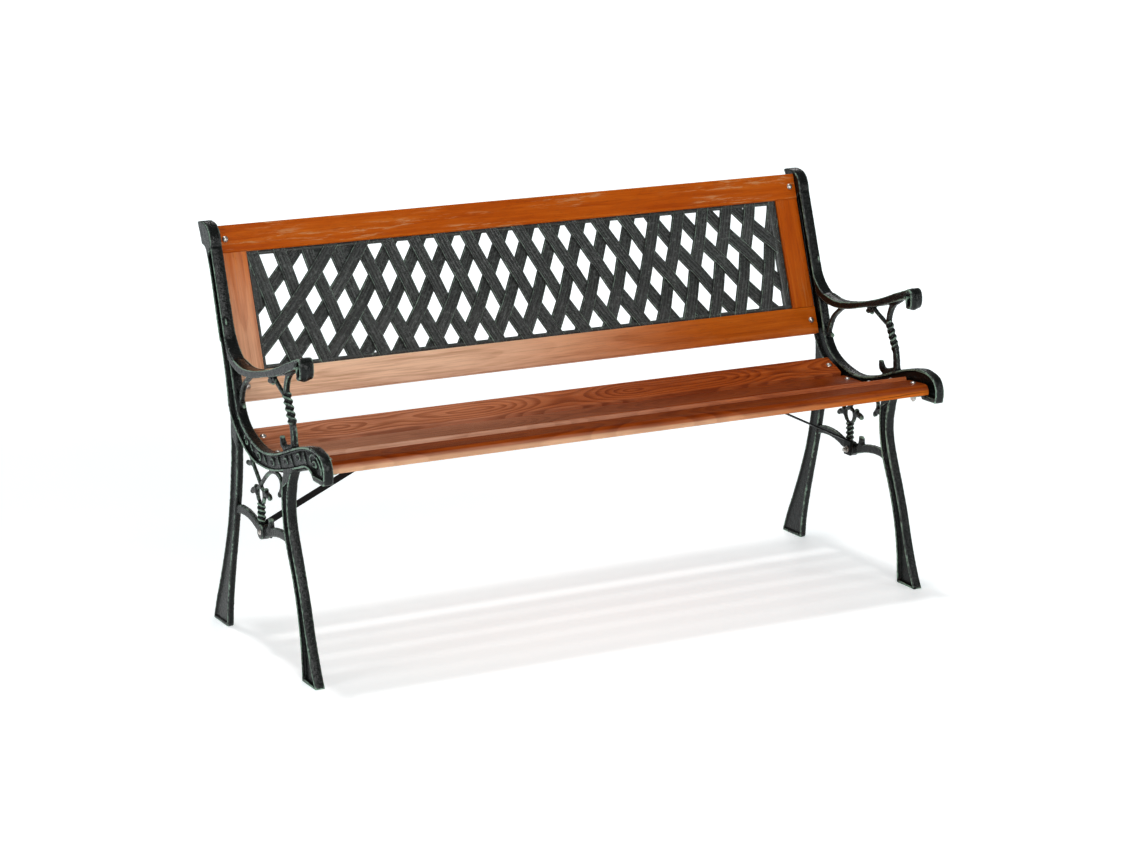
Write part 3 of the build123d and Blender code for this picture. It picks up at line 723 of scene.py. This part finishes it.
# ---- lattice ----
# Places on the back are x along it and "up" along its slope from the ground.
PANEL_LOW, PANEL_HIGH = BOTTOM_RAIL[1] / cos(LEAN), TOP_RAIL[0] / cos(LEAN)
WINDOW = (-0.549, 0.541, PANEL_LOW + 0.008, PANEL_HIGH - 0.007)     # x from, x to, up from, up to
TONGUE = 0.0055             # how far the panel reaches into the grooves of its frame
SLIVER = (0.620, 0.700, -0.538)     # up from, up to, x: where the left border is wider
CLOSED = ((-0.432, -0.404, 0.015), (-0.378, -0.340, 0.024))     # x from, x to, height of filled windows
STRIP_MIDDLE = -0.0088      # a strip's middle; negative lies behind the back's front plane
WEAVE = 0.0021              # how far it moves out and in as strips pass over and under
STRIP_FRONT, STRIP_REAR = 0.0019, -0.0021                   # from a strip's middle
BORDER_FACE, BORDER_REAR, CLOSED_FACE = -0.0052, -0.0128, -0.0100
CORNER_ROW = 2.6            # the outermost left strip stops above the bottom corner
STRIP = 0.236               # half-width of a strip, where the strips' spacing is 1


LATTICE_X, LATTICE_UP = 4.0, 637.0          # millimetres: place of crossing (0, 0)
COLUMN_STEP, COLUMN_SPREAD = 28.65, 0.8     # spacing of the columns, and what it gains with each row down
ROW_STEP = 57.8
SAG, SAG_GAIN = 0.191, 0.0222               # a row's rise per column squared, and its gain with each row


def lattice_point(p, q):
    """Place of crossing (p, q). Rows sag in the middle, and columns stand wider apart lower down."""
    row = p - q
    column = p + q
    x = LATTICE_X + column * (COLUMN_STEP + COLUMN_SPREAD * row)
    up = LATTICE_UP - ROW_STEP * row + (SAG + SAG_GAIN * row) * column ** 2
    return x * MM, up * MM


def on_back(x, up, out):
    """World point from a place on the back and its distance out of the back's front plane."""
    return Vector((0, BACK_Y, 0)) + ALONG * x + UP_BACK * up + OUT_OF_BACK * out


def rising_over(p, q):
    """Whether the strip that rises to the right passes in front at this crossing.

    It does so in one row, except towards the ends of the panel, where the weave is less regular.
    """
    row, column = round(p - q), round(p + q)
    if p < -8:
        return False
    if p < -7:
        return True
    if p < -6:
        return row <= 0
    if p < -5:
        return row in (1, 2)
    if column > 8:
        return row in (-1, 0, 2, 3)
    return row == 1


def strip_level(index, t, rising):
    """1 where a strip lies in front and -1 behind, at place t along it; crossings lie at half steps."""
    first = np.floor(t - 0.5) + 0.5
    share = t - first
    share = share * share * (3 - 2 * share)
    levels = []
    for crossing in (first, first + 1):
        p, q = (index, crossing) if rising else (crossing, index)
        levels.append(1.0 if rising_over(p, q) == rising else -1.0)
    return levels[0] + (levels[1] - levels[0]) * share


def clamp_to_panel(x, up):
    """Keeps a place within the grooves of the panel's frame."""
    x = min(max(x, -HALF_PANEL - TONGUE), HALF_PANEL + TONGUE)
    up = min(max(up, PANEL_LOW - TONGUE), PANEL_HIGH + TONGUE)
    return x, up


STRIP_PROFILE = [       # place across the strip, height in millimetres, edge value
    (-1.0, -1.2, 0.45), (-0.96, 0.2, 0.7), (-0.87, 0.8, 0.84), (-0.78, -0.1, 0.38), (-0.66, -0.3, 0.34),
    (-0.52, 0.6, 0.67), (-0.38, -0.3, 0.36), (-0.24, -0.3, 0.36), (-0.10, 0.5, 0.64), (0.04, 0.5, 0.62),
    (0.16, -0.3, 0.36), (0.34, -0.3, 0.36), (0.50, 0.6, 0.66), (0.64, -0.3, 0.34), (0.78, -0.1, 0.38),
    (0.87, 0.8, 0.84), (0.96, 0.2, 0.7), (1.0, -1.2, 0.45),
]


def lattice_strip(mesh, index, rising):
    """One woven strip with moulded ridges along it."""
    places = []
    for t in np.arange(-14, 14.01, 0.125):
        x, up = lattice_point(*((index, t) if rising else (t, index)))
        if index < -10 and t - index > CORNER_ROW:
            continue
        if abs(x) < HALF_PANEL + 0.012 and PANEL_LOW - 0.014 < up < PANEL_HIGH + 0.014:
            places.append(t)
    if len(places) < 4:
        return
    values = [value for _, _, value in STRIP_PROFILE] + [0.4] * len(STRIP_PROFILE)
    rings = []
    for t in places:
        middle = STRIP_MIDDLE + WEAVE * strip_level(index, t, rising)
        front, rear = [], []
        for across, rise, _ in STRIP_PROFILE:
            aside = index + across * STRIP
            x, up = clamp_to_panel(*lattice_point(*((aside, t) if rising else (t, aside))))
            front.append(on_back(x, up, middle + STRIP_FRONT + rise * MM))
            rear.append(on_back(x, up, middle + STRIP_REAR))
        rings.append(front + rear[::-1])
    mesh.loft(rings, values)


def lattice_border(mesh, start, end, inner_edge, outer_edge, vertical, face=BORDER_FACE):
    """A bar of the lattice's surround with a raised bead along its inner edge."""
    profile = [(0.0, -0.9), (0.12, 0.4), (0.35, 0.5), (0.5, -0.6), (1.0, -0.6)]
    values = [0.6, 0.7, 0.62, 0.4, 0.4] + [0.4] * 5
    rings = []
    for t in np.linspace(start, end, 40):
        front, rear = [], []
        for share, rise in profile:
            across = inner_edge + (outer_edge - inner_edge) * share
            x, up = (across, t) if vertical else (t, across)
            front.append(on_back(x, up, face + rise * MM))
            rear.append(on_back(x, up, BORDER_REAR))
        rings.append(front + rear[::-1])
    mesh.loft(rings, values)


def lattice(material):
    """The woven-looking panel: strips that rise to the right, strips that fall, and their surround."""
    mesh = Mesh()
    for half in np.arange(-10.5, 14):
        if half < 9:
            lattice_strip(mesh, half, False)
        if half > -9:
            lattice_strip(mesh, half, True)
    left, right, low, high = WINDOW
    edge_x, edge_low, edge_high = HALF_PANEL + TONGUE, PANEL_LOW - TONGUE, PANEL_HIGH + TONGUE
    lattice_border(mesh, -edge_x, edge_x, low, edge_low, False)
    lattice_border(mesh, -edge_x, edge_x, high, edge_high, False)
    lattice_border(mesh, edge_low, edge_high, left, -edge_x, True)
    lattice_border(mesh, SLIVER[0], SLIVER[1], SLIVER[2], left - 0.002, True)
    lattice_border(mesh, edge_low, edge_high, right, edge_x, True)
    for start, end, height in CLOSED:
        lattice_border(mesh, start, end, high - height, edge_high, False, CLOSED_FACE)
    piece = mesh.object_with_edges("woven_lattice")
    set_material(piece, material)
    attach(piece, BODY)
    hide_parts("back_lattice")


# ---- studio ----
FLOOR_REACH = 14.0
CAMERA_PLACE = (-2.5934, -4.5160 + NOSE_Y, 1.7034)
CAMERA_DOWN, CAMERA_TURN = 14.057, -28.326      # degrees below level, and round the vertical
FOCAL_LENGTH = 96.49                            # millimetres, on a sensor 36 mm wide


def studio():
    """Pale floor, soft lights and the camera."""
    scene = bpy.context.scene
    scene.view_settings.view_transform = "Standard"
    scene.view_settings.look = "Medium High Contrast"
    world = bpy.data.worlds.new("studio")
    scene.world = world
    world.use_nodes = True
    backdrop = world.node_tree.nodes["Background"]
    backdrop.inputs["Color"].default_value = (1, 1, 1, 1)
    backdrop.inputs["Strength"].default_value = 0.20
    mesh = Mesh()
    corners = [(x * FLOOR_REACH, y * FLOOR_REACH, 0) for x, y in ((-1, -1), (1, -1), (1, 1), (-1, 1))]
    mesh.add(corners, [(0, 1, 2, 3)])
    floor = mesh.object("studio_floor")
    set_material(floor, floor_material())
    sun = bpy.data.lights.new("overhead", "SUN")
    sun.energy = 0.82
    sun.angle = radians(6)
    overhead = bpy.data.objects.new("overhead", sun)
    overhead.rotation_euler = (radians(-4), radians(-3), 0)
    scene.collection.objects.link(overhead)
    lamps = [       # name, place, target, width, height, watts
        ("front", (-0.5, -3.3, 1.85), (0, 0, 0.5), 2.4, 0.8, 43),
        ("left", (-3.4, -0.6, 1.5), (-0.4, 0, 0.45), 0.7, 1.0, 9),
        ("rear", (1.6, 2.8, 2.2), (0, 0, 0.5), 1.8, 0.7, 14),
        ("right", (2.0, -1.9, 0.95), (-0.3, -0.1, 0.4), 0.2, 1.2, 5),
    ]
    for name, place, target, width, height, watts in lamps:
        lamp = bpy.data.lights.new(name, "AREA")
        lamp.shape = "RECTANGLE"
        lamp.size = width
        lamp.size_y = height
        lamp.energy = watts
        made = bpy.data.objects.new(name, lamp)
        made.location = place
        made.rotation_euler = (Vector(target) - Vector(place)).to_track_quat("-Z", "Y").to_euler()
        scene.collection.objects.link(made)
    lens = bpy.data.cameras.new("camera")
    lens.sensor_width = 36.0
    lens.lens = FOCAL_LENGTH
    lens.clip_end = 60
    camera = bpy.data.objects.new("camera", lens)
    camera.location = CAMERA_PLACE
    camera.rotation_euler = (radians(90 - CAMERA_DOWN), 0, radians(CAMERA_TURN))
    scene.collection.objects.link(camera)
    scene.camera = camera


# ---- the bench ----
studio()

rail_plank = (ALONG, UP_BACK, OUT_OF_BACK)
stile_plank = (UP_BACK, ALONG, OUT_OF_BACK)
TOP_MIDDLE = sum(TOP_RAIL) / 2 / cos(LEAN)
BOTTOM_MIDDLE = sum(BOTTOM_RAIL) / 2 / cos(LEAN)
boards = {
    "back_top_rail": wood(
        "top_rail_wood", RAIL_TONES, rail_plank, 1.5, 0.014, 0.14, 0.12, scuffs=0.9, centre=TOP_MIDDLE,
    ),
    "back_bottom_rail": wood(
        # The bottom rail's long edges are painted pale: partly rubbed wear, partly a painted highlight.
        "bottom_rail_wood", PALE_RAIL_TONES, rail_plank, 2.5, 0.012, 0.09, 0.12, scuffs=0.15,
        # Painted sheen: the bottom rail is painted paler towards its left end.
        centre=BOTTOM_MIDDLE, worn_and_highlit=(0.0267, 0.30), painted_sheen=(ALONG, 0.40, -0.26, 1.0),
    ),
    "back_stile_left": wood(
        "left_stile_wood", RAIL_TONES, stile_plank, 3.5, 0.013, 0.15, 0.10, scuffs=0.25, centre=-0.58,
        # Painted sheen: the left stile is painted paler lower down.
        painted_sheen=(UP_BACK, 0.80, 0.50, 0.62),
    ),
    "back_stile_right": wood(
        "right_stile_wood", RAIL_TONES, stile_plank, 4.5, 0.014, 0.12, 0.10, scuffs=0.3, centre=0.58,
    ),
}
for name, material in boards.items():
    set_material(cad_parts[name], material)

# name: tones, slope and middle (Y, Z) of its top, half-width, ring spacing and strength,
# edge wear and painted highlight
SLATS = {
    # The front and fourth slats take the darker tones, which are painted shade.
    "front": (SHADED_SEAT_TONES, -0.060, (-0.2148, 0.4040), 0.0331, 0.012, 0.25, 0.45),
    "second": (SEAT_TONES, -0.350, (-0.1408, 0.3950), 0.0351, 0.008, 0.20, 0.95),
    "middle": (SEAT_TONES, -0.185, (-0.0683, 0.3748), 0.0341, 0.009, 0.20, 0.20),
    "fourth": (SHADED_SEAT_TONES, -0.015, (0.0057, 0.3665), 0.0335, 0.008, 0.22, 0.20),
    "rear": (SEAT_TONES, 0.361, (0.0707, 0.3810), 0.0283, 0.0062, 0.34, 0.35),
}
for number, (name, (tones, slope, (y, z), half, ring, strength, wear_and_highlight)) in enumerate(SLATS.items()):
    across = Vector((0, cos(slope), sin(slope)))
    outward = Vector((0, -sin(slope), cos(slope)))
    top = Vector((0, y, z))
    in_front = name == "front"
    material = wood(
        f"slat_{name}_wood", tones, (ALONG, across, outward), 7 + number, ring, strength, 0.30,
        scuffs=0.12, gloss=0.30, shine=0.03 if in_front else 0.08, centre=top.dot(across),
        # Painted sheen: the slats behind the front one are painted paler towards the left end.
        worn_and_highlit=(half, wear_and_highlight), painted_sheen=(ALONG, 0.35, -0.5, 0.0 if in_front else 0.28),
        pale_foot=top.dot(outward) - 0.011 if in_front else None,
    )
    set_material(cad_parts[f"seat_slat_{name}"], material)

dowel_wood = wood("dowel_wood", SEAT_TONES, stile_plank, 21)
set_material(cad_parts["back_stile_dowels"], dowel_wood)

steel = black_steel()
for name in ("brace_bar_left", "brace_bar_right"):
    set_material(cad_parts[name], steel)
plate = zinc()
for name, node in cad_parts.items():
    if name.endswith(("_bolts", "_washers", "_nuts", "_screws")):
        set_material(node, plate)

casting = painted_casting("casting_paint", PAINT, PATINA, amount=0.80, speckle=0.05, specular=0.31)
lattice_paint = painted_casting(
    "lattice_paint", LATTICE_PAINT, LATTICE_PATINA, amount=0.80, speckle=0.12, specular=0.40,
)
end_frame(-1, "end_frame_left", "casting_left", casting)
end_frame(1, "end_frame_right", "casting_right", casting)
lattice(lattice_paint)
